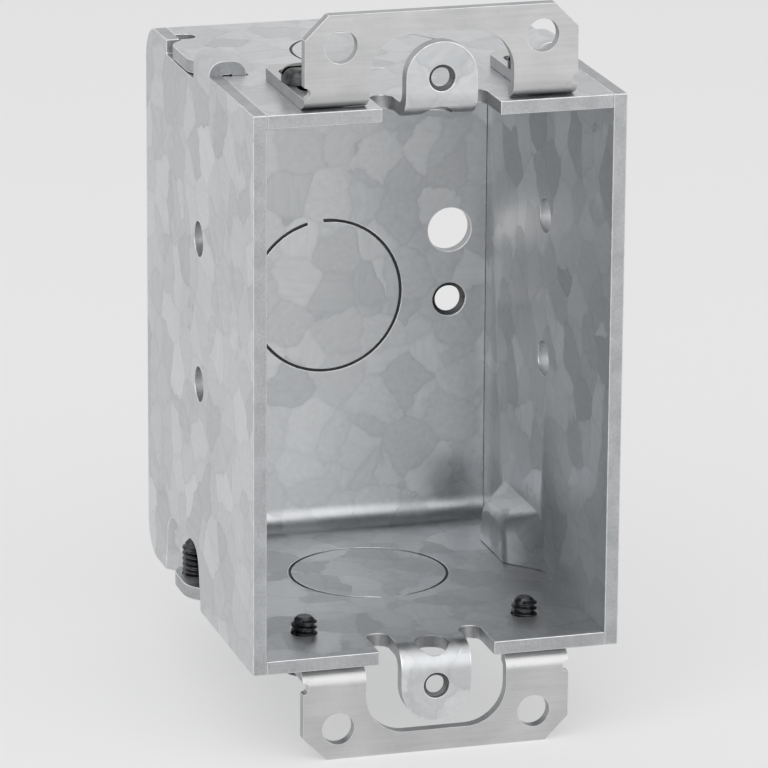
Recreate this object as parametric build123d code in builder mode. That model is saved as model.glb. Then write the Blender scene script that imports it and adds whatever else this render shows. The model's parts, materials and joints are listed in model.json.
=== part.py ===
from build123d import *
import os

# Sizes are in millimetres. X runs to the right, Y from the open front to the back, Z up.
# The origin is the middle of the open front, in the plane of its edges.

# Box shell
box_width = 50.8
box_height = 76.2
box_depth = 57.15
sheet = 1.9
fold_radius = 3.0
seat_gap = 0.05

# Device lugs, bent outwards from the top and bottom walls
lug_hole_reach = 3.55
lug_hole_diameter = 3.5
lug_width = 9.8
lug_fold_radius = 1.5
lug_slit_width = 3.1
lug_slit_depth = 7.5
lug_relief_diameter = 4.4
lug_relief_tilt = 14.0

# Knockouts, sheared round and held by one tie each
knockout_diameter = 22.2
knockout_slit = 0.35
knockout_tie = 2.4
back_knockout_drop = 2.4
back_tie_angle = 98.0
wall_knockout_depth = 33.0

# Holes in the back wall
back_hole_diameter = 6.35
back_hole_rise = 6.0
ground_hole_diameter = 4.8
ground_hole_drop = 4.2
back_holes_from_side = 7.3

# Nail holes in the side plates
nail_hole_diameter = 4.8
nail_hole_depth = 28.4
nail_hole_spacing = 20.3
nail_hole_rise = 4.35

# Tongues of the top wall that key the side plates
tongue_depth = 31.0
tongue_length = 14.5
tongue_corner = 4.0
tongue_relief_width = 3.0
tongue_relief_reach = 2.5
recess_gap = 0.15
recess_corner = 0.4

# Hooks of the side plates, curled over the top wall and down into its slots
hook_length = 8.0
hook_span = 5.2
hook_clearance = 0.1
hook_lip = 1.5
hook_slot_gap = 0.3

# Pockets pressed into the side plates to clear the retaining screws
pocket_depth = 37.5
pocket_mouth = 20.0
pocket_floor = 10.0
pocket_mouth_rise = 8.8
pocket_floor_rise = 7.2
pocket_draw = 4.3
pocket_side_angle = 80.0
pocket_corner = 3.5
pocket_wall_growth = 0.8

# Retaining screws, threaded up through ears of the bottom wall
retainer_diameter = 3.5
retainer_from_side = 2.1
retainer_behind_pocket_middle = 1.5
retainer_rise = 4.8
retainer_tail = 0.4
screw_ear_length = 12.6
screw_ear_proud = 0.5
screw_ear_corner = 4.5

# Plaster ears, adjustable along their slotted feet
ear_sheet = 1.6
ear_width = 37.0
ear_height = 12.7
ear_chamfer = 3.2
ear_fold_radius = 0.8
ear_hole_diameter = 4.4
ear_hole_spacing = 27.28
ear_hole_reach = 8.44
arch_width = 19.5
arch_height = 9.7
arch_corner = 5.5
foot_width = 6.0
foot_length = 21.0
foot_corner = 2.0
neck_notch_radius = 0.8
ear_travel_front = 6.0
ear_travel_back = 4.0

# Ear screws
ear_screw_diameter = 3.5
ear_screw_depth = 10.5
ear_screw_end = 2.3
ear_screw_head_diameter = 6.4
ear_screw_head_height = 2.0
ear_screw_head_rim = 1.1
ear_screw_head_crown = 4.2
ear_slot_clearance = 0.2

# Details that all screws share
thread_clearance = 0.05
driver_slot_width = 0.9
driver_slot_depth = 0.9

# Places worked out from the sizes above
half_width = box_width / 2
half_height = box_height / 2
channel_half = half_width - sheet
floor_level = -half_height + sheet
ear_base = half_height + seat_gap
foot_centre = (ear_width - foot_width) / 2
hook_end = tongue_depth - recess_gap
hook_depth = hook_end - hook_length
retainer_x = half_width - retainer_from_side
retainer_depth = pocket_depth + retainer_behind_pocket_middle
back_hole_x = half_width - back_holes_from_side
ABOVE, BELOW = 1, -1
LEFT, RIGHT = -1, 1


def wall_plane(level):
    """Outer face of the top or bottom wall; its local Y runs forwards below."""
    return Plane(origin=(0, 0, level * half_height), x_dir=(1, 0, 0), z_dir=(0, 0, level))


def cross_plane(depth):
    """Upright plane across the box, seen from the front, at a depth behind it."""
    return Plane.XZ.offset(-depth)


def folded_strip(points, radius, thickness, side):
    """Section of a bent sheet, drawn from the line of one of its faces."""
    with BuildSketch() as section:
        with BuildLine():
            FilletPolyline(*points, radius=radius)
            offset(amount=thickness, side=side)
        make_face()
    return section.sketch


def knockout_ring(centre, tie_angle):
    """Sheared ring round a knockout, broken by its tie."""
    radius = knockout_diameter / 2
    with Locations(centre):
        Circle(radius)
        Circle(radius - knockout_slit, mode=Mode.SUBTRACT)
        with PolarLocations(radius - knockout_slit / 2, 1, start_angle=tie_angle):
            Rectangle(4 * knockout_slit, knockout_tie, mode=Mode.SUBTRACT)


def edge_tongue(side, middle, length, reach, corner):
    """Round-cornered tongue of a wall, reaching out past the wall's side edge."""
    root = channel_half - corner
    tip = channel_half + reach
    with BuildSketch() as outline:
        with Locations((side * (root + tip) / 2, middle)):
            Rectangle(tip - root, length)
        fillet(outline.vertices().group_by(Axis.X)[-1 if side == RIGHT else 0], corner)
    return outline.sketch


def pocket_section(width, rise, growth, bottom):
    """Round-topped section of a side plate's pocket, or of the metal round it."""
    top = -half_height + rise + growth
    with BuildSketch() as section:
        with Locations((pocket_depth, (top + bottom) / 2)):
            Trapezoid(width + 2 * growth, top - bottom, pocket_side_angle)
        fillet(section.vertices().group_by(Axis.Y)[-1], pocket_corner)
    return section.sketch


# Box body: top, back and bottom walls folded from one sheet
with BuildPart() as box_body:
    with BuildSketch(Plane.YZ):
        front_top, back_top = (0, half_height), (box_depth, half_height)
        front_bottom, back_bottom = (0, -half_height), (box_depth, -half_height)
        wall_line = [front_top, back_top, back_bottom, front_bottom]
        add(folded_strip(wall_line, fold_radius + sheet, sheet, Side.RIGHT))
    extrude(amount=channel_half, both=True)

    for level in (ABOVE, BELOW):
        # Slits beside the lug, and the flat metal that the lug's fold takes up
        lug_fold_length = lug_fold_radius + sheet
        slit_end = lug_slit_depth - lug_slit_width / 2
        with BuildSketch(wall_plane(level)):
            for side in (LEFT, RIGHT):
                slit_x = side * (lug_width + lug_slit_width) / 2
                with Locations((slit_x, level * slit_end / 2)):
                    Rectangle(lug_slit_width, slit_end)
                with Locations((slit_x, level * slit_end)):
                    Circle(lug_slit_width / 2)
            with Locations((0, level * lug_fold_length / 2)):
                Rectangle(lug_width, lug_fold_length)
        extrude(amount=-sheet, mode=Mode.SUBTRACT)

        # Lug: a fold outwards, a round-ended face flush with the front, and its tapped hole
        lug_hole_level = level * (half_height + lug_hole_reach)
        inner_level = level * (half_height - sheet)
        with BuildSketch(Plane.YZ):
            lug_line = [(lug_slit_depth, inner_level), (0, inner_level), (0, lug_hole_level)]
            outward = Side.RIGHT if level == ABOVE else Side.LEFT
            add(folded_strip(lug_line, lug_fold_length, sheet, outward))
        extrude(amount=lug_width / 2, both=True)
        with BuildSketch(Plane.XZ):
            with Locations((0, lug_hole_level)):
                Circle(lug_width / 2)
                below_hole = Align.MAX if level == ABOVE else Align.MIN
                Rectangle(lug_width, lug_width, align=(Align.CENTER, below_hole), mode=Mode.SUBTRACT)
        extrude(amount=-sheet)
        with BuildSketch(Plane.XZ):
            with Locations((0, lug_hole_level)):
                Circle(lug_hole_diameter / 2)
        extrude(amount=-sheet, mode=Mode.SUBTRACT)

        # Round relief through the lug's fold, square to it near the wall
        fold_centre = (0, lug_fold_length, level * (half_height + lug_fold_radius))
        fold_plane = Plane(origin=fold_centre, x_dir=(1, 0, 0), z_dir=(0, 0, -level))
        with BuildSketch(fold_plane.rotated((-level * lug_relief_tilt, 0, 0))):
            Circle(lug_relief_diameter / 2)
        extrude(amount=2 * lug_fold_length, mode=Mode.SUBTRACT)

        # Knockout and tapped holes for the ear screws
        with BuildSketch(wall_plane(level)):
            knockout_ring((0, level * wall_knockout_depth), -level * 90)
            with Locations(*[(side * foot_centre, level * ear_screw_depth) for side in (LEFT, RIGHT)]):
                Circle(ear_screw_diameter / 2 + thread_clearance)
        extrude(amount=-sheet, mode=Mode.SUBTRACT)

    for side in (LEFT, RIGHT):
        # Tongue above, with a relief slit behind it, and the slot that takes the hook
        with BuildSketch(wall_plane(ABOVE)):
            add(edge_tongue(side, tongue_depth + tongue_length / 2, tongue_length, sheet, tongue_corner))
        extrude(amount=-sheet)
        with BuildSketch(wall_plane(ABOVE)):
            relief_end = channel_half - tongue_relief_reach + tongue_relief_width / 2
            relief_depth = tongue_depth + tongue_length + tongue_relief_width / 2
            with Locations((side * (relief_end + half_width) / 2, relief_depth)):
                Rectangle(half_width - relief_end, tongue_relief_width)
            with Locations((side * relief_end, relief_depth)):
                Circle(tongue_relief_width / 2)
            lip_x = side * (half_width - hook_span + sheet / 2)
            with Locations((lip_x, hook_depth + hook_length / 2)):
                Rectangle(sheet + 2 * hook_slot_gap, hook_length + 2 * hook_slot_gap)
        extrude(amount=-sheet, mode=Mode.SUBTRACT)

        # Ear below, tapped for the retaining screw
        with BuildSketch(wall_plane(BELOW)):
            ear_reach = sheet + screw_ear_proud
            add(edge_tongue(side, -pocket_depth, screw_ear_length, ear_reach, screw_ear_corner))
        extrude(amount=-sheet)
        with BuildSketch(wall_plane(BELOW)):
            with Locations((side * retainer_x, -retainer_depth)):
                Circle(retainer_diameter / 2 + thread_clearance)
        extrude(amount=-sheet, mode=Mode.SUBTRACT)

    # Back wall: knockout, fixing hole and tapped ground hole
    with BuildSketch(cross_plane(box_depth - sheet)):
        knockout_ring((0, -back_knockout_drop), back_tie_angle)
        with Locations((back_hole_x, back_hole_rise)):
            Circle(back_hole_diameter / 2)
        with Locations((back_hole_x, -ground_hole_drop)):
            Circle(ground_hole_diameter / 2)
    extrude(amount=-sheet, mode=Mode.SUBTRACT)


# Left side plate: flat, keyed and hooked at the top, with a pressed pocket at the bottom
with BuildPart() as left_side_plate:
    with BuildSketch(Plane.YZ.offset(-half_width)) as plate_outline:
        Rectangle(box_depth, box_height, align=(Align.MIN, Align.CENTER))
        fillet(plate_outline.vertices().group_by(Axis.X)[-1], fold_radius + sheet)
    extrude(amount=sheet)

    with BuildSketch(Plane.YZ.offset(-half_width)) as recess:
        with Locations((tongue_depth + tongue_length / 2, half_height)):
            Rectangle(tongue_length + 2 * recess_gap, 2 * (sheet + recess_gap))
        fillet(recess.vertices().group_by(Axis.Y)[0], recess_corner)
    extrude(amount=sheet, mode=Mode.SUBTRACT)

    with BuildSketch(cross_plane(hook_depth)):
        outer_x, lip_x = -half_width, -half_width + hook_span
        crown = half_height + hook_clearance + sheet
        hook_line = [
            (outer_x, half_height - 2 * sheet),
            (outer_x, crown),
            (lip_x, crown),
            (lip_x, half_height - hook_lip),
        ]
        add(folded_strip(hook_line, hook_clearance + sheet, sheet, Side.RIGHT))
    extrude(amount=-hook_length)

    # Metal pressed inwards, then the hollow that it leaves
    bulge = (sheet, pocket_wall_growth, floor_level + seat_gap, Mode.ADD)
    hollow = (0, 0, -half_height - sheet, Mode.SUBTRACT)
    for start, growth, bottom, mode in (bulge, hollow):
        with BuildSketch(Plane.YZ.offset(-half_width + start)):
            add(pocket_section(pocket_mouth, pocket_mouth_rise, growth, bottom))
        with BuildSketch(Plane.YZ.offset(-half_width + start + pocket_draw)):
            add(pocket_section(pocket_floor, pocket_floor_rise, growth, bottom))
        loft(mode=mode)

    with BuildSketch(Plane.YZ.offset(-half_width)):
        with Locations((nail_hole_depth, nail_hole_rise)):
            with GridLocations(0, nail_hole_spacing, 1, 2):
                Circle(nail_hole_diameter / 2)
    extrude(amount=sheet, mode=Mode.SUBTRACT)

with BuildPart() as right_side_plate:
    mirror(left_side_plate.part, about=Plane.YZ)


# Upper plaster ear: an arched plate folded from two slotted feet
with BuildPart() as upper_ear:
    with BuildSketch(Plane.YZ):
        ear_line = [(0, half_height + ear_height), (0, ear_base), (foot_length, ear_base)]
        add(folded_strip(ear_line, ear_fold_radius + ear_sheet, ear_sheet, Side.LEFT))
    extrude(amount=ear_width / 2, both=True)
    ear_fold_length = ear_fold_radius + ear_sheet
    crown_edges = upper_ear.edges().filter_by(Axis.Y).group_by(Axis.Z)[-1]
    chamfer(crown_edges, ear_chamfer)

    with BuildSketch(Plane.XZ) as arch:
        with Locations((0, half_height)):
            Rectangle(arch_width, arch_height, align=(Align.CENTER, Align.MIN))
        fillet(arch.vertices().group_by(Axis.Y)[-1], arch_corner)
    extrude(amount=-foot_length, mode=Mode.SUBTRACT)

    with BuildSketch(Plane.XZ):
        with Locations((0, half_height + ear_hole_reach)):
            with GridLocations(ear_hole_spacing, 0, 2, 1):
                Circle(ear_hole_diameter / 2)
        with Locations((0, ear_base + ear_fold_length)):
            with GridLocations(ear_width, 0, 2, 1):
                Circle(neck_notch_radius)
    extrude(amount=-ear_fold_length, mode=Mode.SUBTRACT)

    with BuildSketch(Plane.XY.offset(ear_base)):
        with Locations((0, ear_fold_length)):
            Rectangle(ear_width - 2 * foot_width, foot_length, align=(Align.CENTER, Align.MIN))
        slot_middle = ear_screw_depth + (ear_travel_front - ear_travel_back) / 2
        slot_width = ear_screw_diameter + 2 * ear_slot_clearance
        with Locations((0, slot_middle)):
            with GridLocations(2 * foot_centre, 0, 2, 1):
                SlotCenterToCenter(ear_travel_front + ear_travel_back, slot_width, rotation=90)
    extrude(amount=ear_sheet, mode=Mode.SUBTRACT)
    foot_ends = upper_ear.edges().filter_by(Axis.Z).group_by(Axis.Y)[-1]
    fillet(foot_ends, foot_corner)

with BuildPart() as lower_ear:
    mirror(upper_ear.part, about=Plane.XY)


# Ear screw: slotted pan head on its seat, with a shank through the foot and the wall
with BuildPart() as ear_screw:
    with BuildSketch(Plane.XZ):
        shank_radius = ear_screw_diameter / 2
        head_radius = ear_screw_head_diameter / 2
        shank_end = -(ear_sheet + 2 * seat_gap + sheet + ear_screw_end)
        with BuildLine():
            Polyline(
                (0, ear_screw_head_height),
                (0, shank_end),
                (shank_radius, shank_end),
                (shank_radius, 0),
                (head_radius, 0),
                (head_radius, ear_screw_head_rim),
                (ear_screw_head_crown / 2, ear_screw_head_height),
                close=True,
            )
        make_face()
    revolve(axis=Axis.Z)
    with BuildSketch(Plane.XY.offset(ear_screw_head_height)):
        Rectangle(ear_screw_head_diameter, driver_slot_width)
    extrude(amount=-driver_slot_depth, mode=Mode.SUBTRACT)

# Retaining screw: headless, slotted at its lower end, from the bottom wall's outer face
with BuildPart() as retaining_screw:
    Cylinder(
        retainer_diameter / 2,
        retainer_tail + sheet + retainer_rise,
        align=(Align.CENTER, Align.CENTER, Align.MIN),
    )
    with BuildSketch(Plane.XY):
        Rectangle(retainer_diameter, driver_slot_width)
    extrude(amount=driver_slot_depth, mode=Mode.SUBTRACT)


os.makedirs("parts", exist_ok=True)
pieces = {
    "box_body": box_body,
    "left_side_plate": left_side_plate,
    "right_side_plate": right_side_plate,
    "upper_ear": upper_ear,
    "lower_ear": lower_ear,
}
for level_name, level in (("upper", ABOVE), ("lower", BELOW)):
    for side_name, side in (("left", LEFT), ("right", RIGHT)):
        seat = level * (ear_base + ear_sheet + seat_gap)
        with BuildPart() as placed_ear_screw:
            with Locations(Plane((side * foot_centre, ear_screw_depth, seat), z_dir=(0, 0, level))):
                add(ear_screw.part)
        pieces[f"{level_name}_{side_name}_ear_screw"] = placed_ear_screw
for side_name, side in (("left", LEFT), ("right", RIGHT)):
    with BuildPart() as placed_retainer:
        with Locations((side * retainer_x, retainer_depth, -half_height - retainer_tail)):
            add(retaining_screw.part)
    pieces[f"{side_name}_retaining_screw"] = placed_retainer

for name, piece in pieces.items():
    piece.part.label = name
    export_step(piece.part, f"parts/{name}.step")
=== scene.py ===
"""Looks of a gangable sheet-steel switch box: finishes, screw threads, studio and camera."""

import json
import logging
import math
from dataclasses import dataclass
from enum import Enum
from typing import Any, Optional, Sequence, Union

import bmesh
import bpy
from bmesh.types import BMEdge, BMesh, BMFace
from bpy.types import ID, Material, Mesh, Node, NodeSocket, NodeTree, Object
from mathutils import Matrix, Vector
from mathutils.bvhtree import BVHTree


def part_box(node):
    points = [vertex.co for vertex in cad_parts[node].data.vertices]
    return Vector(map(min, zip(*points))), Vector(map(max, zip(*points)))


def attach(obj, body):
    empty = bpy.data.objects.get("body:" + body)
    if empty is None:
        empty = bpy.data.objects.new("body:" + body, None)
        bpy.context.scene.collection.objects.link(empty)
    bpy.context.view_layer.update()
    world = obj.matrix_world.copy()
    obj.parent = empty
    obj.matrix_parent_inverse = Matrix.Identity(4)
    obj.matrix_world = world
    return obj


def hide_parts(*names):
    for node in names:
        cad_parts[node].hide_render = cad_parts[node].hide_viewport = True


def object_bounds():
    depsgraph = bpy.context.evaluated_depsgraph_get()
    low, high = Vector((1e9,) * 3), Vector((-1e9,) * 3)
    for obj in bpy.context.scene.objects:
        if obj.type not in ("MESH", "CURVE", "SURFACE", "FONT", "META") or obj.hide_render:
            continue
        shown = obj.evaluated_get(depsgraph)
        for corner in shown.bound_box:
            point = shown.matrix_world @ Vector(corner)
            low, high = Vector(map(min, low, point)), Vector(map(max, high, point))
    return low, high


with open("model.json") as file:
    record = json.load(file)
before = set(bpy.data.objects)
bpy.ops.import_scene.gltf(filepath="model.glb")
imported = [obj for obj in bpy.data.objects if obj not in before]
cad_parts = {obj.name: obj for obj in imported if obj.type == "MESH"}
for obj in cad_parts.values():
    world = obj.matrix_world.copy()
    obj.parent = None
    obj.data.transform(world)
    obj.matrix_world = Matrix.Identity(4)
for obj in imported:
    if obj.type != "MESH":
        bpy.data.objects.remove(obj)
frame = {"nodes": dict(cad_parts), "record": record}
CAD_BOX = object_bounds()

MM = 0.001
PER_MM = 1000.0
QUARTER_TURN = math.pi / 2
SHARP_ANGLE = math.radians(32)
FLAT_ANGLE = math.radians(0.2)
SAME_PLACE = 0.0005 * MM
LOG = logging.getLogger("switch_box")

Colour = tuple[float, float, float]
Triple = tuple[float, float, float]
Pair = tuple[float, float]
Number = Union[float, "Wire"]
SocketKey = Union[str, int]
Settings = Optional[dict[str, Any]]
Inputs = Optional[dict[SocketKey, Any]]


class Level(Enum):
    """Which end of an upright screw carries its driver slot."""

    UPPER = 1
    LOWER = -1


class Cut(Enum):
    """Material index of a face on a stamped sheet."""

    ROLLED_FACE = 0
    SHEARED_EDGE = 1
    ROLLOVER = 2


# Node trees


class Wire:
    """A number in a node tree; arithmetic on it adds Math nodes."""

    def __init__(self, tree: "Tree", socket: NodeSocket) -> None:
        """Wrap an output socket of a tree."""
        self.tree = tree
        self.socket = socket

    def math(self, operation: str, *operands: Number, clamp: bool = False) -> "Wire":
        """Add a Math node; clamp holds its result between 0 and 1."""
        settings = {"operation": operation, "use_clamp": clamp}
        return self.tree.number("ShaderNodeMath", 0, settings, dict(enumerate(operands)))

    def __add__(self, other: Number) -> "Wire":
        """Sum of two numbers."""
        return self.math("ADD", self, other)

    __radd__ = __add__

    def __sub__(self, other: Number) -> "Wire":
        """Difference of two numbers."""
        return self.math("SUBTRACT", self, other)

    def __rsub__(self, other: Number) -> "Wire":
        """Difference of two numbers, the other way round."""
        return self.math("SUBTRACT", other, self)

    def __mul__(self, other: Number) -> "Wire":
        """Product of two numbers."""
        return self.math("MULTIPLY", self, other)

    __rmul__ = __mul__

    def least(self, other: Number) -> "Wire":
        """The lesser of two numbers."""
        return self.math("MINIMUM", self, other)

    def held(self) -> "Wire":
        """The number held between 0 and 1."""
        return self.math("ADD", self, 0.0, clamp=True)

    def swing(self, span: float) -> "Wire":
        """How far a number from 0 to 1 lies from its middle, over a span."""
        return (self - 0.5) * span

    def between(self, low: float, high: float) -> "Wire":
        """Smooth step of the number, from 0 at low to 1 at high."""
        inputs = {"Value": self, "From Min": low, "From Max": high}
        return self.tree.number("ShaderNodeMapRange", "Result", {"interpolation_type": "SMOOTHSTEP"}, inputs)


class Tree:
    """A node tree that is filled from expressions."""

    def __init__(self, tree: NodeTree) -> None:
        """Take over the tree of a material, a world or a node group, and empty it."""
        self.tree = tree
        self.tree.nodes.clear()

    def node(self, kind: str, settings: Settings = None, inputs: Inputs = None) -> Node:
        """Add any node.

        Args:
            kind: Blender's name of the node's type.
            settings: The node's own settings, and a ramp's two stops, each a place and a colour.
            inputs: A value, a wire or a socket for each input, by name or index.

        Returns:
            The node.
        """
        made = self.tree.nodes.new(kind)
        for name, setting in (settings or {}).items():
            if name == "stops":
                for element, (place, colour) in zip(made.color_ramp.elements, setting):
                    element.position = place
                    element.color = (*colour, 1.0)
            else:
                setattr(made, name, setting)
        for key, value in (inputs or {}).items():
            source = value.socket if isinstance(value, Wire) else value
            if isinstance(source, NodeSocket):
                self.tree.links.new(source, made.inputs[key])
            else:
                made.inputs[key].default_value = source
        return made

    def number(
        self, kind: str, output: SocketKey, settings: Settings = None, inputs: Inputs = None
    ) -> Wire:
        """Add any node and take one of its outputs as a number."""
        return Wire(self, self.node(kind, settings, inputs).outputs[output])


class GrowthTree(Tree):
    """Geometry Nodes tree whose inputs are named sizes and a finish."""

    def __init__(self, name: str, sizes: Sequence[str]) -> None:
        """Start a tree.

        Args:
            name: The tree's name.
            sizes: The names of its sizes.
        """
        self.group = bpy.data.node_groups.new(name, "GeometryNodeTree")
        for size in sizes:
            self.group.interface.new_socket(size, in_out="INPUT", socket_type="NodeSocketFloat")
        self.group.interface.new_socket("Finish", in_out="INPUT", socket_type="NodeSocketMaterial")
        self.group.interface.new_socket("Geometry", in_out="OUTPUT", socket_type="NodeSocketGeometry")
        super().__init__(self.group)
        self.given = self.node("NodeGroupInput").outputs

    def sweep(self, path: NodeSocket, profile: NodeSocket) -> NodeTree:
        """End the tree with a profile that is swept along a path and given the finish.

        Args:
            path: The curve that is followed.
            profile: The curve that is swept, its X outwards from the path and its Y upwards.

        Returns:
            The finished tree.
        """
        curves = {"Curve": path, "Profile Curve": profile, "Fill Caps": True}
        swept = self.node("GeometryNodeCurveToMesh", None, curves).outputs[0]
        real = self.node("GeometryNodeRealizeInstances", None, {"Geometry": swept}).outputs[0]
        finish = {"Geometry": real, "Material": self.given["Finish"]}
        dressed = self.node("GeometryNodeSetMaterial", None, finish).outputs[0]
        self.node("NodeGroupOutput", None, {"Geometry": dressed})
        return self.group

    def upright(self, path: NodeSocket) -> NodeSocket:
        """Keep a profile's Y upwards all along a path."""
        return self.node("GeometryNodeSetCurveNormal", {"mode": "Z_UP"}, {"Curve": path}).outputs[0]

    def quadrilateral(self, mode: str, sizes: dict[str, Any]) -> NodeSocket:
        """Draw a four-sided profile of one of Blender's modes."""
        return self.node("GeometryNodeCurvePrimitiveQuadrilateral", {"mode": mode}, sizes).outputs[0]


class MetalShader(Tree):
    """Node tree of a metal finish, in millimetres of the object's own frame."""

    SCRATCH_AXIS = (0.48, 0.6, 0.64)
    SCRATCH_STRETCH = (1.0, 45.0, 45.0)
    SCRATCH_EDGE = 0.05

    def __init__(self, name: str) -> None:
        """Start a material.

        Args:
            name: The material's name.
        """
        self.material = bpy.data.materials.new(name)
        self.material.use_nodes = True
        super().__init__(self.material.node_tree)
        coordinates = self.node("ShaderNodeTexCoord").outputs["Object"]
        self.place = self.stretched(coordinates, (PER_MM,) * 3)

    def stretched(self, vector: NodeSocket, scale: Triple) -> NodeSocket:
        """Scale a vector along its axes."""
        inputs = {0: vector, 1: scale}
        return self.node("ShaderNodeVectorMath", {"operation": "MULTIPLY"}, inputs).outputs[0]

    def turned_place(self, axis: Triple, angle: Number) -> NodeSocket:
        """Turn the place on the surface about an axis, by an angle in radians."""
        inputs = {"Vector": self.place, "Axis": axis, "Angle": angle}
        return self.node("ShaderNodeVectorRotate", {"rotation_type": "AXIS_ANGLE"}, inputs).outputs[0]

    def noise(
        self,
        size: float,
        detail: float,
        stretch: Triple = (1.0, 1.0, 1.0),
        roughness: float = 0.5,
        place: Optional[NodeSocket] = None,
    ) -> Wire:
        """Fractal noise on the surface.

        Args:
            size: The size of its largest features in millimetres.
            detail: How many finer octaves it has.
            stretch: Factors on the three axes; a small one draws the noise out.
            roughness: How strong the finer octaves are.
            place: The vector that it reads, if not the plain place on the surface.

        Returns:
            The noise, from 0 to 1.
        """
        vector = self.stretched(place or self.place, stretch)
        inputs = {"Vector": vector, "Scale": 1 / size, "Detail": detail, "Roughness": roughness}
        return self.number("ShaderNodeTexNoise", 0, None, inputs)

    def scratches(self, size: float, angle: float, level: float) -> Wire:
        """Sparse fine scratches, all in about one direction.

        Args:
            size: Their length in millimetres.
            angle: Their direction about a slanting axis, in degrees.
            level: The noise level above which a scratch shows.

        Returns:
            1 in a scratch and 0 elsewhere.
        """
        place = self.turned_place(self.SCRATCH_AXIS, math.radians(angle))
        lines = self.noise(size, detail=1.0, stretch=self.SCRATCH_STRETCH, place=place)
        return lines.between(level, level + self.SCRATCH_EDGE)


# Finishes


@dataclass(frozen=True)
class Coat:
    """What varies over a finish: its tone, from 0 to 1, its roughness and its height."""

    tone: Wire
    roughness: Wire
    height: Wire


@dataclass(frozen=True)
class Finish:
    """A metal finish between two colours; each kind lays a coat of its own.

    The tones say where the dark and the light colour stand, and the relief is a depth in millimetres
    and a strength.
    """

    name: str
    dark: Colour
    light: Colour
    tones: Pair
    roughness: float
    relief: Pair

    def material(self) -> Material:
        """Build the finish as a material.

        Returns:
            The material.
        """
        shader = MetalShader(self.name)
        coat = self.coat(shader)
        stops = list(zip(self.tones, (self.dark, self.light)))
        colour = shader.node("ShaderNodeValToRGB", {"stops": stops}, {"Fac": coat.tone}).outputs["Color"]
        depth, strength = self.relief
        relief = {"Height": coat.height, "Distance": depth * MM, "Strength": strength}
        normal = shader.node("ShaderNodeBump", None, relief).outputs["Normal"]
        metal = {"Base Color": colour, "Metallic": 1.0, "Roughness": coat.roughness, "Normal": normal}
        shaded = shader.node("ShaderNodeBsdfPrincipled", None, metal).outputs[0]
        shader.node("ShaderNodeOutputMaterial", None, {"Surface": shaded})
        return shader.material

    def coat(self, shader: MetalShader) -> Coat:
        """Lay the coat, which each kind of finish says for itself."""
        raise NotImplementedError


@dataclass(frozen=True)
class GalvanisedFace(Finish):
    """Rolled face of hot-dip galvanised sheet: spangle crystals, feathering, haze and handling marks."""

    name: str = "galvanised_face"
    dark: Colour = (0.47, 0.485, 0.50)
    light: Colour = (0.78, 0.79, 0.80)
    tones: Pair = (0.08, 0.92)
    roughness: float = 0.40
    relief: Pair = (0.02, 0.55)
    spangle: float = 5.8
    spangle_wander: float = 2.6
    wander_scale: float = 0.35
    seam_width: float = 0.09
    feather: float = 1.1
    feather_axis: Triple = (0.57, 0.58, 0.58)
    feather_stretch: Triple = (0.22, 1.5, 1.5)
    haze: float = 26.0
    grain: float = 0.22
    scratches: Triple = (9.0, 25.0, 0.72)
    cross_scratches: Triple = (7.0, 112.0, 0.74)

    def coat(self, shader: MetalShader) -> Coat:
        """Lay crystals of their own tone, direction and gloss, with haze and sparse scratches over them.

        Args:
            shader: The finish's node tree.

        Returns:
            The coat.
        """
        wander_inputs = {"Vector": shader.place, "Scale": self.wander_scale, "Detail": 2.0}
        wander = shader.node("ShaderNodeTexNoise", None, wander_inputs).outputs["Color"]
        shift = {0: wander, 1: (self.spangle_wander,) * 3, 2: shader.place}
        shifted = shader.node("ShaderNodeVectorMath", {"operation": "MULTIPLY_ADD"}, shift).outputs[0]
        cells = {"Vector": shifted, "Scale": 1 / self.spangle}
        crystal = shader.node("ShaderNodeTexVoronoi", {"feature": "F1"}, cells).outputs["Color"]
        split = shader.node("ShaderNodeSeparateColor", None, {0: crystal})
        tone, turn, gloss = (Wire(shader, output) for output in split.outputs)
        to_edge = {"feature": "DISTANCE_TO_EDGE"}
        from_seam = shader.number("ShaderNodeTexVoronoi", "Distance", to_edge, cells)
        seam = from_seam.between(0.0, self.seam_width)
        along_crystal = shader.turned_place(self.feather_axis, turn * math.tau)
        feather = shader.noise(self.feather, 3.0, stretch=self.feather_stretch, place=along_crystal)
        haze = shader.noise(self.haze, detail=4.0)
        grain = shader.noise(self.grain, detail=2.0)
        marks = shader.scratches(*self.scratches) + shader.scratches(*self.cross_scratches)
        brightness = 0.5 + tone.swing(0.34) + feather.swing(0.42) + haze.swing(0.5) + (seam - 1) * 0.10
        roughness = self.roughness + gloss.swing(0.16) + haze.swing(0.18) + feather.swing(0.10)
        height = feather * 0.45 + seam * 0.35 + grain * 0.12 - marks * 0.35
        return Coat((brightness + marks * 0.08).held(), roughness - marks * 0.08, height)


@dataclass(frozen=True)
class ShearedEdge(Finish):
    """Cut edge of the sheet: torn grey steel with fine striations."""

    name: str = "sheared_edge"
    dark: Colour = (0.30, 0.31, 0.32)
    light: Colour = (0.60, 0.61, 0.62)
    tones: Pair = (0.15, 0.85)
    roughness: float = 0.46
    relief: Pair = (0.03, 0.6)
    striation: float = 0.35
    patch: float = 3.5

    def coat(self, shader: MetalShader) -> Coat:
        """Lay fine striations over broad patches.

        Args:
            shader: The finish's node tree.

        Returns:
            The coat.
        """
        striae = shader.noise(self.striation, detail=2.0, roughness=0.6)
        patches = shader.noise(self.patch, detail=3.0)
        tone = (striae * 0.55 + patches * 0.6 - 0.08).held()
        return Coat(tone, self.roughness + striae.swing(0.22), striae)


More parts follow.
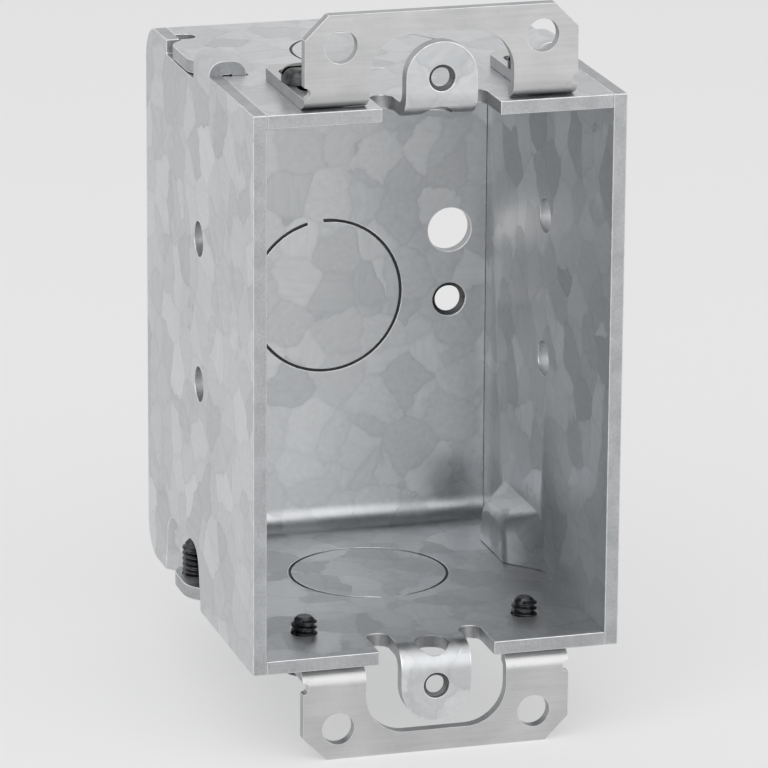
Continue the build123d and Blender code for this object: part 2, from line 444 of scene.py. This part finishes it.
@dataclass(frozen=True)
class BurnishedHighlightRollover(Finish):
    """Narrow edge that the die has rolled: lighter and glossier than the face, partly real burnish and
    partly a painted highlight.
    """

    name: str = "burnished_and_highlighted_rollover"
    # painted highlight: every rolled edge is coloured lighter than the face all round, partly as real
    # burnish
    dark: Colour = (0.60, 0.61, 0.62)
    light: Colour = (0.86, 0.86, 0.86)
    tones: Pair = (0.3, 0.7)
    roughness: float = 0.30
    relief: Pair = (0.01, 0.4)
    wear: float = 1.8

    def coat(self, shader: MetalShader) -> Coat:
        """Lay uneven wear."""
        wear = shader.noise(self.wear, detail=4.0, roughness=0.6)
        return Coat(wear, self.roughness - wear.swing(0.3), wear)


@dataclass(frozen=True)
class PlatedStrip(Finish):
    """Zinc-plated strip steel: fine drawn lines across it, faint blotches and pits."""

    name: str = "plated_strip"
    dark: Colour = (0.44, 0.445, 0.45)
    light: Colour = (0.70, 0.70, 0.69)
    tones: Pair = (0.1, 0.9)
    roughness: float = 0.33
    relief: Pair = (0.012, 0.5)
    line: float = 0.5
    line_stretch: Triple = (0.05, 1.0, 1.0)
    blotch: float = 8.0
    pit: float = 0.55
    pit_rim: Pair = (0.27, 0.36)
    scratches: Triple = (6.0, 70.0, 0.70)

    def coat(self, shader: MetalShader) -> Coat:
        """Lay drawn lines, blotches, pits and sparse scratches.

        Args:
            shader: The finish's node tree.

        Returns:
            The coat.
        """
        drawn = shader.noise(self.line, detail=3.0, stretch=self.line_stretch, roughness=0.6)
        blotches = shader.noise(self.blotch, detail=4.0)
        pits = shader.noise(self.pit, detail=1.0).between(*self.pit_rim)
        marks = shader.scratches(*self.scratches)
        tone = 0.5 + drawn.swing(0.5) + blotches.swing(0.7) + (pits - 1) * 0.12 + marks * 0.10
        roughness = self.roughness + blotches.swing(0.24) + drawn.swing(0.16)
        return Coat(tone.held(), roughness, drawn * 0.5 + pits * 0.5 - marks * 0.3)


@dataclass(frozen=True)
class BlackedScrew(Finish):
    """Screw steel with a dark oxide finish, rubbed brighter in patches."""

    name: str = "blacked_screw"
    dark: Colour = (0.028, 0.029, 0.031)
    light: Colour = (0.17, 0.17, 0.175)
    tones: Pair = (0.35, 0.78)
    roughness: float = 0.30
    relief: Pair = (0.006, 0.5)
    patch: float = 1.4
    grain: float = 0.12

    def coat(self, shader: MetalShader) -> Coat:
        """Lay rubbed patches and a fine grain.

        Args:
            shader: The finish's node tree.

        Returns:
            The coat.
        """
        rubbed = shader.noise(self.patch, detail=4.0, roughness=0.62)
        grain = shader.noise(self.grain, detail=2.0)
        return Coat(rubbed, self.roughness + rubbed.swing(0.25) + grain.swing(0.12), grain)


# Meshes


def linked(name: str, data: ID, *finishes: Material) -> Object:
    """Put a mesh, a camera or a lamp into the scene as an object.

    Args:
        name: The object's name.
        data: What it holds; a mesh is already in place.
        finishes: The materials of a mesh, in the order of its faces' indices.

    Returns:
        The object.
    """
    for finish in finishes:
        data.materials.append(finish)
    made = bpy.data.objects.new(name, data)
    bpy.context.scene.collection.objects.link(made)
    return made


def mesh_of(made: BMesh, name: str) -> Mesh:
    """Turn an edit mesh into a plain one and free it.

    Args:
        made: The edit mesh.
        name: The plain mesh's name.

    Returns:
        The plain mesh.
    """
    mesh = bpy.data.meshes.new(name)
    made.to_mesh(mesh)
    made.free()
    return mesh


def gathered(meshes: Sequence[Mesh]) -> BMesh:
    """Gather plain meshes into one edit mesh and remove them.

    Args:
        meshes: The plain meshes.

    Returns:
        The edit mesh, to be freed by the caller.
    """
    whole = bmesh.new()
    for mesh in meshes:
        whole.from_mesh(mesh)
        bpy.data.meshes.remove(mesh)
    return whole


def evaluated_mesh(made: Object) -> Mesh:
    """Take an object's mesh with its modifiers applied.

    Args:
        made: The object.

    Returns:
        A new plain mesh.
    """
    depsgraph = bpy.context.evaluated_depsgraph_get()
    evaluated = made.evaluated_get(depsgraph)
    return bpy.data.meshes.new_from_object(evaluated, preserve_all_data_layers=True, depsgraph=depsgraph)


def grown(group: NodeTree, inputs: dict[str, Any]) -> Mesh:
    """Grow a mesh from a Geometry Nodes tree.

    Args:
        group: The tree.
        inputs: A value for each of its named inputs.

    Returns:
        A new plain mesh.
    """
    carrier = linked("carrier", bpy.data.meshes.new("carrier"))
    modifier = carrier.modifiers.new("growth", "NODES")
    modifier.node_group = group
    for socket in group.interface.items_tree:
        if socket.in_out == "INPUT":
            modifier[socket.identifier] = inputs[socket.name]
    mesh = evaluated_mesh(carrier)
    bpy.data.objects.remove(carrier)
    return mesh


def whole_faces(solid: BMesh) -> None:
    """Merge doubled corners and join the triangles of each flat face.

    Args:
        solid: The mesh, changed in place.
    """
    bmesh.ops.remove_doubles(solid, verts=solid.verts, dist=SAME_PLACE)
    bmesh.ops.dissolve_limit(
        solid, angle_limit=FLAT_ANGLE, verts=solid.verts, edges=solid.edges, use_dissolve_boundaries=False
    )


def merged_solid(node: str) -> BMesh:
    """Copy a CAD node's loose triangles into one closed mesh, its flat faces whole.

    Args:
        node: The node's name.

    Returns:
        The mesh, to be freed by the caller.
    """
    solid = bmesh.new()
    solid.from_mesh(frame["nodes"][node].data)
    whole_faces(solid)
    return solid


def mount_named(name: str) -> dict[str, Any]:
    """Find a mount in the record by its name."""
    return next(mount for mount in frame["record"]["mounts"] if mount["name"] == name)


def shade_flat_faces(made: Object) -> None:
    """Shade an object smooth, with its flat faces flat right up to their rounded edges.

    Args:
        made: The object, changed in place.
    """
    made.data.polygons.foreach_set("use_smooth", [True] * len(made.data.polygons))
    made.data.set_sharp_from_angle(angle=SHARP_ANGLE)
    weighted = made.modifiers.new("flat_faces", "WEIGHTED_NORMAL")
    weighted.mode = "CORNER_ANGLE"
    weighted.keep_sharp = True
    weighted.use_face_influence = True
    finished = evaluated_mesh(made)
    made.modifiers.clear()
    rough, made.data = made.data, finished
    bpy.data.meshes.remove(rough)


def turned(profile: Sequence[Pair], sides: int) -> BMesh:
    """Turn a profile about Z into a closed mesh.

    Args:
        profile: Radius and height of each ring, from one end to the other.
        sides: How many sides the mesh has.

    Returns:
        The mesh, to be freed by the caller.
    """
    made = bmesh.new()
    rings = []
    for radius, height in profile:
        angles = [math.tau * side / sides for side in range(sides)]
        rings.append([made.verts.new((radius * math.cos(a), radius * math.sin(a), height)) for a in angles])
    for lower, upper in zip(rings, rings[1:]):
        for side in range(sides):
            after = (side + 1) % sides
            made.faces.new((lower[side], lower[after], upper[after], upper[side]))
    made.faces.new(reversed(rings[0]))
    made.faces.new(rings[-1])
    bmesh.ops.recalc_face_normals(made, faces=made.faces)
    return made


@dataclass(frozen=True)
class EdgeRounding:
    """Rounding of a solid's outer edges, left off where it finds no room."""

    width: float
    segments: int = 2
    fault_reach: float = 4.0
    sliver: float = 0.02
    least_agreement: float = 0.2
    tries: int = 8

    def rounded(self, solid: BMesh, material: int, among: Optional[Sequence[BMEdge]] = None) -> BMesh:
        """Round a copy of a solid; edges beside a fault are dropped and the rest is tried again.

        Args:
            solid: The closed mesh, left as it is.
            material: The material index of the rounding's faces, or -1 for their neighbours'.
            among: The solid's edges that may be rounded, if not all of them.

        Returns:
            The rounded copy, to be freed by the caller.
        """
        surface = BVHTree.FromBMesh(solid)
        solid.edges.index_update()
        solid.edges.ensure_lookup_table()
        allowed = solid.edges if among is None else among
        chosen = [edge.index for edge in allowed if self._is_sharp(edge)]
        for _ in range(self.tries):
            trial = solid.copy()
            trial.edges.ensure_lookup_table()
            bmesh.ops.bevel(
                trial,
                geom=[trial.edges[index] for index in chosen],
                offset=self.width,
                offset_type="OFFSET",
                segments=self.segments,
                profile=0.5,
                affect="EDGES",
                clamp_overlap=False,
                material=material,
                face_strength_mode="ALL",
            )
            faults = self._faults(trial, surface)
            if not faults:
                break
            chosen = [index for index in chosen if not self._beside(solid.edges[index], faults)]
            trial.free()
        else:
            trial = solid.copy()
        return trial

    @staticmethod
    def _is_sharp(edge: BMEdge) -> bool:
        """Tell whether an edge is an outer one that is sharp enough to be rounded."""
        return edge.is_manifold and edge.is_convex and edge.calc_face_angle() >= SHARP_ANGLE

    def _faults(self, trial: BMesh, surface: BVHTree) -> list[Vector]:
        """Find where a rounded mesh has left its solid's surface or turned inside out.

        Args:
            trial: The rounded mesh.
            surface: The solid's own surface.

        Returns:
            The corners of the triangles at fault.
        """
        faults = []
        for loops in trial.calc_loop_triangles():
            corners = [loop.vert.co.copy() for loop in loops]
            sides = [corners[place] - corners[place - 1] for place in range(3)]
            across = sides[1].cross(sides[2])
            if across.length < self.sliver * self.width * max(side.length for side in sides):
                continue
            nearby = surface.find_nearest_range(sum(corners, Vector()) / 3, self.width)
            agreement = max((across.normalized().dot(normal) for _, normal, _, _ in nearby), default=-1.0)
            if agreement < self.least_agreement:
                faults.extend(corners)
        return faults

    def _beside(self, edge: BMEdge, faults: Sequence[Vector]) -> bool:
        """Tell whether an edge lies beside one of the faults.

        Args:
            edge: The edge.
            faults: The places at fault.

        Returns:
            Whether a fault lies within reach of the edge.
        """
        low, high = (end.co for end in edge.verts)
        along = high - low
        for fault in faults:
            share = max(0.0, min(1.0, (fault - low).dot(along) / along.length_squared))
            if (low + along * share - fault).length < self.fault_reach * self.width:
                return True
        return False


@dataclass(frozen=True)
class Thread:
    """A cut thread: its sizes in metres, its ridge as shares of the pitch and its core of the depth."""

    crest_radius: float
    pitch: float
    depth: float
    base_share: float = 0.86
    crest_share: float = 0.16
    core_share: float = 0.9

    STEPS_PER_TURN = 40
    RUN_OUTS_IN_LENGTH = 9.0

    @property
    def core_radius(self) -> float:
        """Radius of the shank under the ridge, which sinks into it a little."""
        return self.crest_radius - self.core_share * self.depth

    @classmethod
    def ridge_tree(cls) -> NodeTree:
        """Geometry Nodes tree that sweeps a thread's ridge along a helix.

        Returns:
            The tree.
        """
        tree = GrowthTree("thread_ridge", ("Radius", "Height", "Turns", "Base", "Crest", "Ridge", "Turned"))
        given = tree.given
        radii = {"Start Radius": given["Radius"], "End Radius": given["Radius"]}
        rise = {"Rotations": given["Turns"], "Height": given["Height"]}
        winding = {"Resolution": cls.STEPS_PER_TURN, **radii, **rise}
        helix = tree.upright(tree.node("GeometryNodeCurveSpiral", None, winding).outputs[0])
        along = tree.number("GeometryNodeSplineParameter", "Factor")
        run_outs = cls.RUN_OUTS_IN_LENGTH
        fade = (along * run_outs).least((1 - along) * run_outs).least(1.0)
        faded = tree.node("GeometryNodeSetCurveRadius", None, {"Curve": helix, "Radius": fade}).outputs[0]
        widths = {"Bottom Width": given["Base"], "Top Width": given["Crest"], "Offset": 0.0}
        outline = tree.quadrilateral("TRAPEZOID", {"Height": given["Ridge"], **widths})
        turn = tree.node("ShaderNodeCombineXYZ", None, {"Z": given["Turned"]}).outputs[0]
        turned_outline = {"Geometry": outline, "Rotation": turn}
        profile = tree.node("GeometryNodeTransform", None, turned_outline).outputs[0]
        return tree.sweep(faded, profile)

    def ridge(self, length: float, inward: bool, finish: Material) -> Mesh:
        """Sweep the thread's ridge over a length, from height 0 upwards.

        Args:
            length: The length that the ridge keeps within, in metres.
            inward: Whether the ridge stands inwards from a hole's wall.
            finish: The ridge's material.

        Returns:
            The ridge's mesh.
        """
        group = bpy.data.node_groups.get("thread_ridge") or self.ridge_tree()
        base = self.base_share * self.pitch
        height = length - base
        inputs = {
            "Radius": self.crest_radius - self.depth / 2,
            "Height": height,
            "Turns": height / self.pitch,
            "Base": base,
            "Crest": self.crest_share * self.pitch,
            "Ridge": self.depth,
            "Turned": -QUARTER_TURN if inward else QUARTER_TURN,
            "Finish": finish,
        }
        swept = grown(group, inputs)
        swept.transform(Matrix.Translation((0, 0, base / 2)))
        return swept


# Pieces


@dataclass
class StampedSheet:
    """A stamped and folded sheet: its solid's form with rounded edges, and a finish for each Cut."""

    node: str
    body: str
    slot: str
    thickness: float
    finishes: tuple[Material, ...]
    rounding: EdgeRounding
    pressing: Optional[EdgeRounding] = None
    widest_cut: float = 1.35
    clear_of_face: float = 1.5

    def build(self) -> Object:
        """Make the sheet from its solid and put it on its body.

        Returns:
            The finished piece.
        """
        name = f"{self.node}_sheet"
        solid = merged_solid(self.node)
        self._tell_cuts_apart(solid)
        if self.pressing:
            creased = solid
            solid = self.pressing.rounded(creased, Cut.ROLLED_FACE.value, self._pressed_creases(creased))
            creased.free()
        # the rounding's faces take the rollover finish, whose lighter colour is partly a painted highlight
        # along every edge
        mesh = mesh_of(self.rounding.rounded(solid, Cut.ROLLOVER.value), name)
        solid.free()
        piece = linked(name, mesh, *self.finishes)
        shade_flat_faces(piece)
        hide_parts(self.node)
        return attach(piece, self.body)

    def _tell_cuts_apart(self, solid: BMesh) -> None:
        """Mark each smooth surface as a cut, where it is about as wide as the sheet is thick, or as rolled.

        Args:
            solid: The sheet's closed mesh, changed in place.
        """
        waiting = set(solid.faces)
        while waiting:
            surface = self._smooth_surface(waiting)
            cut = self._mean_width(surface) < self.widest_cut * self.thickness
            for face in surface:
                face.material_index = (Cut.SHEARED_EDGE if cut else Cut.ROLLED_FACE).value

    def _pressed_creases(self, solid: BMesh) -> list[BMEdge]:
        """Find the edges between rolled faces where metal of an upright sheet is pressed inwards.

        Args:
            solid: The sheet's closed mesh.

        Returns:
            The edges that stand clear of the sheet's inner face.
        """
        outer = max(abs(corner.co.x) for corner in solid.verts)
        clear = outer - self.clear_of_face * self.thickness
        return [
            edge
            for edge in solid.edges
            if all(abs(corner.co.x) < clear for corner in edge.verts)
            and all(face.material_index == Cut.ROLLED_FACE.value for face in edge.link_faces)
        ]

    @staticmethod
    def _smooth_surface(waiting: set[BMFace]) -> list[BMFace]:
        """Take one smooth surface, bounded by sharp edges, out of a set of faces.

        Args:
            waiting: The faces that are left, made fewer.

        Returns:
            The surface's faces.
        """
        surface = [waiting.pop()]
        for face in surface:
            for edge in face.edges:
                if not edge.is_manifold or edge.calc_face_angle() >= SHARP_ANGLE:
                    continue
                for other in edge.link_faces:
                    if other in waiting:
                        waiting.remove(other)
                        surface.append(other)
        return surface

    @staticmethod
    def _mean_width(surface: Sequence[BMFace]) -> float:
        """Work out a surface's mean width from its area and the length of its rim.

        Args:
            surface: The surface's faces.

        Returns:
            The width in metres.
        """
        inside = set(surface)
        rim = sum(
            edge.calc_length()
            for face in surface
            for edge in face.edges
            if sum(other in inside for other in edge.link_faces) == 1
        )
        return 2 * sum(face.calc_area() for face in surface) / rim


@dataclass(frozen=True)
class SlottedEnd:
    """A screw's driven end: turned with a rounded shoulder and cut across by a driver slot."""

    radius: float
    height: float
    rim: float
    crown: float
    slot_width: float = 0.9 * MM
    slot_depth: float = 0.9 * MM
    rounding: EdgeRounding = EdgeRounding(0.06 * MM)
    sides: int = 64
    shoulder_steps: int = 8

    def build(self) -> Mesh:
        """Make the end, from height 0 at its base upwards, with its slot along X.

        Returns:
            The end's mesh.
        """
        blank = linked("blank_end", mesh_of(turned(self._profile(), self.sides), "blank_end"))
        slot = bmesh.new()
        reach = Matrix.Diagonal((3 * self.radius, self.slot_width, 2 * self.slot_depth, 1.0))
        bmesh.ops.create_cube(slot, size=1.0, matrix=Matrix.Translation((0, 0, self.height)) @ reach)
        cutter = linked("slot_cutter", mesh_of(slot, "slot_cutter"))
        cut = blank.modifiers.new("slot", "BOOLEAN")
        cut.operation = "DIFFERENCE"
        cut.solver = "EXACT"
        cut.object = cutter
        solid = gathered([evaluated_mesh(blank)])
        for spare in (blank, cutter):
            bpy.data.objects.remove(spare)
        whole_faces(solid)
        rounded = self.rounding.rounded(solid, -1)
        solid.free()
        bmesh.ops.remove_doubles(rounded, verts=rounded.verts, dist=SAME_PLACE)
        return mesh_of(rounded, "slotted_end")

    def _profile(self) -> list[Pair]:
        """Work out the rings of the turned end.

        Returns:
            Radius and height of each ring, from the base to the crown.
        """
        rings = [(self.radius, 0.0)]
        for step in range(self.shoulder_steps + 1):
            angle = QUARTER_TURN * step / self.shoulder_steps
            radius = self.crown + (self.radius - self.crown) * math.cos(angle)
            rings.append((radius, self.rim + (self.height - self.rim) * math.sin(angle)))
        return rings


@dataclass
class ThreadedScrew:
    """A screw: a slotted end, and a shank with a cut thread."""

    node: str
    body: str
    slot: str
    end: SlottedEnd
    slotted_end: Level
    thread: Thread
    finish: Material
    chamfer: float = 0.4 * MM
    sides: int = 56

    def build(self) -> Object:
        """Make the screw and put it on its body.

        Returns:
            The finished piece.
        """
        name = f"{self.node}_threaded"
        low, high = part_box(self.node)
        upper = self.slotted_end is Level.UPPER
        base = high.z - self.end.height if upper else low.z + self.end.height
        length = base - low.z if upper else high.z - base
        upwards = Matrix.Translation(((low.x + high.x) / 2, (low.y + high.y) / 2, base))
        downwards = upwards @ Matrix.Rotation(math.pi, 4, "X")
        end = self.end.build()
        end.transform(upwards if upper else downwards)
        shank = self._shank(length)
        for mesh in shank:
            mesh.transform(downwards if upper else upwards)
        piece = linked(name, mesh_of(gathered([end, *shank]), name), self.finish)
        shade_flat_faces(piece)
        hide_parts(self.node)
        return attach(piece, self.body)

    def _shank(self, length: float) -> list[Mesh]:
        """Make the shank's core and thread, upwards from height 0.

        Args:
            length: The shank's length in metres.

        Returns:
            The two meshes.
        """
        radius = self.thread.core_radius
        profile = [(radius, 0.0), (radius, length - self.chamfer), (radius - self.chamfer, length)]
        core = mesh_of(turned(profile, self.sides), "shank_core")
        return [core, self.thread.ridge(length - self.chamfer / 2, False, self.finish)]


@dataclass
class TappedHoles:
    """The threads inside a mount's tapped holes."""

    mount: str
    body: str
    slot: str
    wall: Pair
    pitch: float
    depth: float
    finish: Material
    sharp_angle: float = math.radians(35)

    def build(self) -> Object:
        """Make the threads of all the mount's holes as one piece on its body.

        Returns:
            The finished piece.
        """
        name = f"{self.mount}_thread"
        record = mount_named(self.mount)
        across, _, level = record["pos_m"]
        dims = record["dims"]
        radius = dims.get("hole_r_mm", dims.get("r_mm")) * MM
        spread = dims.get("spacing_y_mm", 0.0) * MM / 2
        thread = Thread(radius, self.pitch, self.depth)
        front, back = self.wall
        into_wall = Matrix.Rotation(-QUARTER_TURN, 4, "X")
        ridges = []
        for rise in sorted({spread, -spread}):
            ridge = thread.ridge(back - front, True, self.finish)
            ridge.transform(Matrix.Translation((across, front, level + rise)) @ into_wall)
            ridges.append(ridge)
        whole = gathered(ridges)
        bmesh.ops.recalc_face_normals(whole, faces=whole.faces)
        mesh = mesh_of(whole, name)
        mesh.polygons.foreach_set("use_smooth", [True] * len(mesh.polygons))
        mesh.set_sharp_from_angle(angle=self.sharp_angle)
        piece = linked(name, mesh, self.finish)
        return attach(piece, self.body)


@dataclass
class KnockoutShears:
    """A ring that fills the sheared line round each knockout, standing for torn steel and coloured near
    black as painted shade of the slit.
    """

    mounts: tuple[str, ...]
    body: str
    slot: str
    thickness: float
    finish: Material
    name: str = "knockout_shear_lines"
    line: float = 0.35 * MM
    recess: float = 0.22 * MM
    steps: int = 160

    def build(self) -> Object:
        """Make the lines of all the knockouts as one piece on their body.

        Returns:
            The finished piece.
        """
        group = self._ring_tree()
        whole = gathered([self._ring(group, mount_named(mount)) for mount in self.mounts])
        bmesh.ops.recalc_face_normals(whole, faces=whole.faces)
        piece = linked(self.name, mesh_of(whole, self.name), self.finish)
        shade_flat_faces(piece)
        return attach(piece, self.body)

    def _ring(self, group: NodeTree, mount: dict[str, Any]) -> Mesh:
        """Make one knockout's line within its wall.

        Args:
            group: The tree that sweeps it.
            mount: The knockout's mount.

        Returns:
            The line's mesh, in place.
        """
        sizes = {
            "Radius": mount["dims"]["r_mm"] * MM - self.line / 2,
            "Line": self.line,
            "Depth": self.thickness - 2 * self.recess,
            "Finish": self.finish,
        }
        ring = grown(group, sizes)
        outwards = Vector(mount["axis"])
        middle = Vector(mount["pos_m"]) - outwards * self.thickness / 2
        turn = outwards.to_track_quat("Z", "Y").to_matrix().to_4x4()
        ring.transform(Matrix.Translation(middle) @ turn)
        return ring

    def _ring_tree(self) -> NodeTree:
        """Geometry Nodes tree that sweeps the line's section round a circle.

        Returns:
            The tree.
        """
        tree = GrowthTree("shear_ring", ("Radius", "Line", "Depth"))
        inputs = {"Resolution": self.steps, "Radius": tree.given["Radius"]}
        circle = tree.node("GeometryNodeCurvePrimitiveCircle", {"mode": "RADIUS"}, inputs).outputs[0]
        sizes = {"Width": tree.given["Line"], "Height": tree.given["Depth"]}
        section = tree.quadrilateral("RECTANGLE", sizes)
        return tree.sweep(tree.upright(circle), section)


# Studio


@dataclass
class PhotoCamera:
    """Camera at the drawing's viewing angle."""

    azimuth: float = -16.36
    elevation: float = 16.39
    roll: float = 0.38
    distance: float = 776.07 * MM
    target: Triple = (1.19 * MM, 30.0 * MM, -8.27 * MM)
    focal_pixels: float = 5667.0
    frame_pixels: float = 768.0
    sensor: float = 36.0
    nearest: float = 0.01
    farthest: float = 20.0

    def build(self) -> None:
        """Make the camera and give it to the scene."""
        azimuth, elevation, roll = (math.radians(a) for a in (self.azimuth, self.elevation, self.roll))
        level = math.cos(elevation)
        back = Vector((math.sin(azimuth) * level, -math.cos(azimuth) * level, math.sin(elevation)))
        level_right = Vector((math.cos(azimuth), math.sin(azimuth), 0.0))
        level_up = back.cross(level_right)
        right = level_right * math.cos(roll) + level_up * math.sin(roll)
        up = level_up * math.cos(roll) - level_right * math.sin(roll)
        data = bpy.data.cameras.new("photo_camera")
        data.sensor_width = self.sensor
        data.lens = self.focal_pixels / self.frame_pixels * self.sensor
        data.clip_start = self.nearest
        data.clip_end = self.farthest
        camera = linked("photo_camera", data)
        turn = Matrix((right, up, back)).transposed().to_4x4()
        camera.matrix_world = Matrix.Translation(Vector(self.target) + back * self.distance) @ turn
        bpy.context.scene.camera = camera


@dataclass
class Lamp:
    """A soft square lamp that points at the box."""

    name: str
    place: Triple
    size: float
    power: float
    target: Triple = (0.0, 0.03, 0.0)

    def build(self) -> None:
        """Make the lamp and aim it."""
        data = bpy.data.lights.new(self.name, "AREA")
        data.size = self.size
        data.energy = self.power
        lamp = linked(self.name, data)
        lamp.location = self.place
        aim = Vector(self.target) - Vector(self.place)
        lamp.rotation_euler = aim.to_track_quat("-Z", "Y").to_euler()


@dataclass
class Studio:
    """Plain pale floor, even sky and soft lamps."""

    floor_size: float = 4.0
    floor_colour: Colour = (0.86, 0.86, 0.86)
    floor_glow: float = 0.4
    sky_light: float = 0.55
    sky_seen: float = 0.8
    lamps: tuple[Lamp, ...] = (
        Lamp("key_lamp", (-0.6, -0.8, 0.9), 1.6, 7.0),
        Lamp("fill_lamp", (0.75, -0.85, 0.45), 1.2, 3.4),
        Lamp("front_lamp", (-0.1, -1.2, 0.2), 1.2, 1.2),
    )

    def build(self, floor_level: float) -> None:
        """Make the floor, the sky and the lamps.

        Args:
            floor_level: The floor's height in metres.
        """
        self._floor(floor_level)
        self._sky()
        for lamp in self.lamps:
            lamp.build()
        bpy.context.scene.view_settings.view_transform = "Standard"

    def _floor(self, level: float) -> None:
        """Lay the floor, a little brighter where it is seen or mirrored.

        Args:
            level: Its height in metres.
        """
        half = self.floor_size / 2
        corners = [(-half, -half, level), (half, -half, level), (half, half, level), (-half, half, level)]
        mesh = bpy.data.meshes.new("floor")
        mesh.from_pydata(corners, [], [(0, 1, 2, 3)])
        material = bpy.data.materials.new("pale_floor")
        material.use_nodes = True
        tree = Tree(material.node_tree)
        matte = tree.node("ShaderNodeBsdfDiffuse", None, {"Color": (*self.floor_colour, 1.0)}).outputs[0]
        white = tree.node("ShaderNodeEmission", None, {"Color": (1, 1, 1, 1), "Strength": 1.0}).outputs[0]
        seen = self._ray_share(tree, "Is Camera Ray", "Is Glossy Ray")
        mix = {0: seen * self.floor_glow, 1: matte, 2: white}
        mixed = tree.node("ShaderNodeMixShader", None, mix).outputs[0]
        tree.node("ShaderNodeOutputMaterial", None, {"Surface": mixed})
        linked("floor", mesh, material)

    def _sky(self) -> None:
        """Make the even sky: paler where it is seen or mirrored than it is as light."""
        world = bpy.data.worlds.new("pale_sky")
        world.use_nodes = True
        tree = Tree(world.node_tree)
        seen = self._ray_share(tree, "Is Camera Ray", "Is Glossy Ray", "Is Transmission Ray")
        strength = seen * (self.sky_seen - self.sky_light) + self.sky_light
        glow = {"Color": (1, 1, 1, 1), "Strength": strength}
        sky = tree.node("ShaderNodeBackground", None, glow).outputs[0]
        tree.node("ShaderNodeOutputWorld", None, {"Surface": sky})
        bpy.context.scene.world = world

    @staticmethod
    def _ray_share(tree: Tree, *kinds: str) -> Wire:
        """Tell rays of some kinds from the rest.

        Args:
            tree: The tree that asks.
            kinds: Light Path's names of the kinds.

        Returns:
            1 for a ray of one of the kinds and 0 for any other.
        """
        rays = tree.node("ShaderNodeLightPath").outputs
        first, *others = (Wire(tree, rays[kind]) for kind in kinds)
        return sum(others, first).held()


# The whole box


@dataclass
class SwitchBox:
    """The whole box: stamped sheets, plaster ears, screws, tapped holes and knockouts."""

    body: str = "box"
    sheet_slot: str = "galvanised_sheet"
    ear_slot: str = "plated_ear"
    screw_slot: str = "black_screw"
    sheet_thickness: float = 1.9 * MM
    ear_thickness: float = 1.6 * MM
    sheet_rounding: EdgeRounding = EdgeRounding(0.14 * MM)
    ear_rounding: EdgeRounding = EdgeRounding(0.06 * MM)
    pocket_rounding: EdgeRounding = EdgeRounding(0.9 * MM, segments=5)
    screw_thread: Thread = Thread(crest_radius=1.75 * MM, pitch=0.794 * MM, depth=0.44 * MM)
    ground_thread_depth: float = 0.5 * MM
    pan_head: SlottedEnd = SlottedEnd(radius=3.2 * MM, height=2.0 * MM, rim=1.0 * MM, crown=1.9 * MM)
    retainer_end: SlottedEnd = SlottedEnd(radius=1.75 * MM, height=1.3 * MM, rim=1.0 * MM, crown=1.4 * MM)
    # the tapped threads' cut steel is coloured near black, far darker than the sheared edges: painted shade
    # inside the holes
    tapped_shade_finish: Finish = ShearedEdge("tapped_thread_painted_shade", (0.05, 0.052, 0.055), (0.20, 0.205, 0.21))
    # near-black ring in the knockout slits: painted shade of the slit, on torn steel
    slit_shade_finish: Finish = ShearedEdge("shear_line", (0.022, 0.023, 0.025), (0.11, 0.112, 0.115))

    def sheets(self) -> list[StampedSheet]:
        """List the box's stamped sheets with their finishes.

        Returns:
            The box body, the side plates and the plaster ears.
        """
        face = GalvanisedFace().material()
        cuts = (ShearedEdge().material(), BurnishedHighlightRollover().material())
        plated = PlatedStrip().material()
        wall = (self.body, self.sheet_slot, self.sheet_thickness, (face, *cuts), self.sheet_rounding)
        strip = (self.ear_slot, self.ear_thickness, (plated, *cuts), self.ear_rounding)
        plates = ("left_side_plate", "right_side_plate")
        return [
            StampedSheet("box_body", *wall),
            *(StampedSheet(plate, *wall, self.pocket_rounding) for plate in plates),
            *(StampedSheet(ear, ear, *strip) for ear in ("upper_ear", "lower_ear")),
        ]

    def screws(self) -> list[ThreadedScrew]:
        """List the box's screws with their threads and finish.

        Returns:
            The ear screws and the retaining screws, left ones first.
        """
        thread = self.screw_thread
        finish = BlackedScrew().material()
        kinds = (
            ("upper_{}_ear_screw", self.pan_head, Level.UPPER),
            ("lower_{}_ear_screw", self.pan_head, Level.LOWER),
            ("{}_retaining_screw", self.retainer_end, Level.LOWER),
        )
        return [
            ThreadedScrew(node.format(side), self.body, self.screw_slot, end, slotted, thread, finish)
            for side in ("left", "right")
            for node, end, slotted in kinds
        ]

    def tapped_holes(self) -> list[TappedHoles]:
        """List the box's open tapped holes.

        Returns:
            The threads of the device lugs and of the ground hole.
        """
        pitch = self.screw_thread.pitch
        # the near-black threads paint the holes' shade
        finish = self.tapped_shade_finish.material()
        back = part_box("box_body")[1].y
        kinds = (
            ("device_lugs", (0.0, self.sheet_thickness), self.screw_thread.depth),
            ("ground_hole", (back - self.sheet_thickness, back), self.ground_thread_depth),
        )
        return [
            TappedHoles(mount, self.body, self.sheet_slot, wall, pitch, depth, finish)
            for mount, wall, depth in kinds
        ]

    def knockout_shears(self) -> KnockoutShears:
        """Describe the sheared lines round the box's knockouts.

        Returns:
            The lines of the back, top and bottom knockouts.
        """
        mounts = ("back_knockout", "top_knockout", "bottom_knockout")
        # the rings' near-black colour is painted shade of the slits
        finish = self.slit_shade_finish.material()
        return KnockoutShears(mounts, self.body, self.sheet_slot, self.sheet_thickness, finish)


def main() -> None:
    """Build the box's looks, the studio and the camera."""
    logging.basicConfig(level=logging.INFO, format="%(message)s")
    box = SwitchBox()
    for part in (*box.sheets(), *box.screws(), *box.tapped_holes(), box.knockout_shears()):
        piece = part.build()
        LOG.info("%s: %d faces on %s", piece.name, len(piece.data.polygons), part.body)
    Studio().build(CAD_BOX[0].z)
    PhotoCamera().build()


if __name__ == "__main__":
    main()
